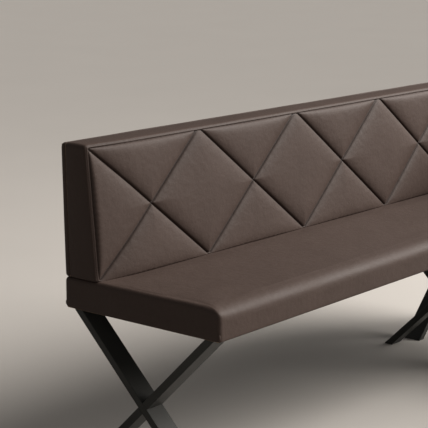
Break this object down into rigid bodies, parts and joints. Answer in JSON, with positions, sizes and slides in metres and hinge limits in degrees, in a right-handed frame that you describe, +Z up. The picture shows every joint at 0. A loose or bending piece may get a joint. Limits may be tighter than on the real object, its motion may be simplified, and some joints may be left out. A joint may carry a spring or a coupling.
{
  "type": "corner bench",
  "caption": "L-shaped upholstered bench with plain cushion seats, a backrest quilted in large X and diamond fields, and crossed flat-bar frames under the seats.",
  "frame": {"origin": "middle of the bounding box in plan, on the floor under the glides", "axes": "+X along the long wing towards the outer corner, +Y from the room to the rear of the long wing, +Z up; the short wing runs from the corner towards -Y and faces -X"},
  "size_m": [2.0108, 1.5776, 0.842],
  "materials": {
    "leather_front": "dark brown, semi-gloss, fine grain",
    "leather_plain": "dark brown, semi-gloss, fine grain",
    "foam": "open-cell upholstery foam",
    "dust_cloth": "black non-woven cloth",
    "plywood": "raw birch plywood",
    "black_steel": "satin black powder coat",
    "glide_plastic": "matte black",
    "zinc_steel": "zinc plated"
  },
  "bodies": {
    "root": {"back_bolt_spacers": "zinc_steel", "back_bolt_washers": "zinc_steel", "back_bolts": "zinc_steel", "back_rail_inserts": "zinc_steel", "corner_frame_long_bar": "black_steel", "corner_frame_lower_half_bar": "black_steel", "corner_frame_top_plate": "black_steel", "corner_frame_upper_half_bar": "black_steel", "end_frame_long_bar": "black_steel", "end_frame_lower_half_bar": "black_steel", "end_frame_top_plate": "black_steel", "end_frame_upper_half_bar": "black_steel", "foot_glides": "glide_plastic", "frame_screws": "zinc_steel", "joint_screws": "zinc_steel", "left_frame_long_bar": "black_steel", "left_frame_lower_half_bar": "black_steel", "left_frame_top_plate": "black_steel", "left_frame_upper_half_bar": "black_steel", "long_back_bottom_rail": "plywood", "long_back_boxing": "leather_plain", "long_back_foam": "foam", "long_back_front_board": "plywood", "long_back_quilted_front": "leather_front", "long_back_rear_board": "plywood", "long_back_rear_cover": "leather_plain", "long_back_top_rail": "plywood", "long_back_uprights": "plywood", "long_dust_cover": "dust_cloth", "long_seat_board": "plywood", "long_seat_cover": "leather_plain", "long_seat_foam": "foam", "middle_frame_long_bar": "black_steel", "middle_frame_lower_half_bar": "black_steel", "middle_frame_top_plate": "black_steel", "middle_frame_upper_half_bar": "black_steel", "seat_board_inserts": "zinc_steel", "seat_joint_plates": "zinc_steel", "short_back_bottom_rail": "plywood", "short_back_boxing": "leather_plain", "short_back_foam": "foam", "short_back_front_board": "plywood", "short_back_quilted_front": "leather_front", "short_back_rear_board": "plywood", "short_back_rear_cover": "leather_plain", "short_back_top_rail": "plywood", "short_back_uprights": "plywood", "short_dust_cover": "dust_cloth", "short_seat_board": "plywood", "short_seat_cover": "leather_plain", "short_seat_foam": "foam"}
  },
  "joints": []
}
